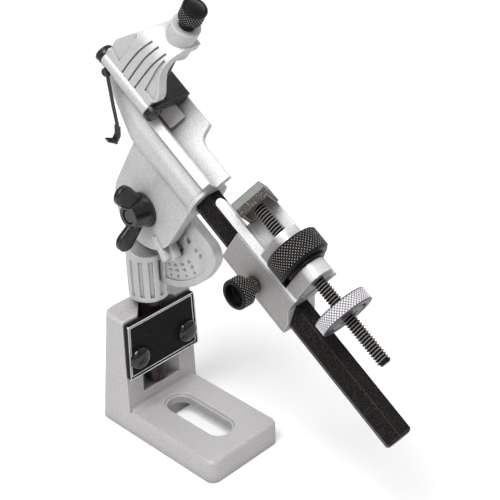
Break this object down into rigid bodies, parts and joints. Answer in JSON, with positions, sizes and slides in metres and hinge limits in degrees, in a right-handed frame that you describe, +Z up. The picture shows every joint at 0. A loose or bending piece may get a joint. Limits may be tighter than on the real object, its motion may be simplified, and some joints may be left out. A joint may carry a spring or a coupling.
{
  "type": "drill grinding attachment",
  "caption": "Bench attachment that holds a drill bit in a V trough at a set angle and feeds it to a grinding wheel, on a swinging post with an index sector and a screw-fed tail stop.",
  "frame": {"origin": "on the foot's underside, below the post's axis", "axes": "+Z up, +X along the foot away from the wall, +Y across the foot"},
  "size_m": [0.2313, 0.06, 0.2979],
  "materials": {
    "base_metal": "satin",
    "plate_black": "satin",
    "black_steel": "satin",
    "dark_steel": "satin",
    "bright_metal": "polished",
    "head_metal": "satin",
    "slide_metal": "satin",
    "black_rod": "satin",
    "grey_steel": "satin",
    "stop_metal": "satin",
    "zinc_steel": "satin"
  },
  "bodies": {
    "base": {"base_casting": "base_metal", "clamp_plate": "plate_black", "plate_screws": "black_steel"},
    "post": {"post": "dark_steel"},
    "bracket": {"bracket_casting": "bright_metal", "pivot_bolt": "black_steel", "pivot_washer": "black_steel"},
    "wing": {"wing_nut": "black_steel"},
    "head": {"head_casting": "head_metal", "hex_rod": "black_rod", "rod_set_screw": "black_steel", "index_plunger": "dark_steel", "hinge_pin": "dark_steel", "hinge_clip": "dark_steel", "lip_rest_screw": "black_steel"},
    "clamp": {"clamp_strap": "black_steel", "clamp_jaw": "grey_steel", "jaw_rivets": "black_steel"},
    "thumb": {"clamp_screw": "black_steel"},
    "rest": {"lip_rest": "black_steel"},
    "slide": {"tail_slide": "slide_metal"},
    "lock": {"slide_lock_screw": "black_steel"},
    "nut": {"feed_nut": "black_steel"},
    "feed": {"tail_screw": "dark_steel", "drill_stop": "stop_metal"},
    "stop": {"stop_nut": "zinc_steel"}
  },
  "joints": [
    {"name": "post_lift", "type": "slide", "parent": "base", "child": "post", "axis": [0, 0, 1], "range_m": [0, 0.025]},
    {"name": "bracket_swing", "type": "hinge", "parent": "post", "child": "bracket", "pos_m": [0, 0, 0.1], "axis": [0, 0, 1], "range_deg": [-45, 45]},
    {"name": "head_tilt", "type": "hinge", "parent": "bracket", "child": "head", "pos_m": [0.0122, 0, 0.1596], "axis": [0, 1, 0], "range_deg": [-29, 18]},
    {"name": "wing_turn", "type": "hinge", "parent": "bracket", "child": "wing", "pos_m": [0.0122, -0.015, 0.1596], "axis": [0, -1, 0], "range_deg": [-30, 360]},
    {"name": "strap_swing", "type": "hinge", "parent": "head", "child": "clamp", "pos_m": [0.01465, -0.0143, 0.2433], "axis": [0.832, 0, -0.5548], "range_deg": [0, 30]},
    {"name": "clamp_screw_lift", "type": "slide", "parent": "head", "child": "thumb", "axis": [0.5548, 0, 0.832], "range_m": [0, 0.0104]},
    {"name": "lip_rest_swing", "type": "hinge", "parent": "head", "child": "rest", "pos_m": [-0.0034, -0.0149, 0.24525], "axis": [0, 1, 0], "range_deg": [-20, 110]},
    {"name": "slide_travel", "type": "slide", "parent": "head", "child": "slide", "axis": [0.832, 0, -0.5548], "range_m": [-0.007, 0.07]},
    {"name": "lock_turn", "type": "hinge", "parent": "slide", "child": "lock", "pos_m": [0.10561, -0.015, 0.14791], "axis": [0, -1, 0], "range_deg": [-30, 360]},
    {"name": "feed_nut_turn", "type": "hinge", "parent": "slide", "child": "nut", "pos_m": [0.12902, 0, 0.17004], "axis": [0.832, 0, -0.5548], "range_deg": [-2880, 1440]},
    {"name": "tail_screw_feed", "type": "slide", "parent": "slide", "child": "feed", "axis": [0.832, 0, -0.5548], "range_m": [-0.0072, 0.0145]},
    {"name": "stop_nut_travel", "type": "slide", "parent": "feed", "child": "stop", "axis": [0.832, 0, -0.5548], "range_m": [-0.009, 0.02]}
  ],
  "couplings": [
    {"joint": "strap_swing", "follows": "clamp_screw_lift", "rad_per_m": 50},
    {"joint": "feed_nut_turn", "follows": "tail_screw_feed", "rad_per_m": -3463.2}
  ]
}
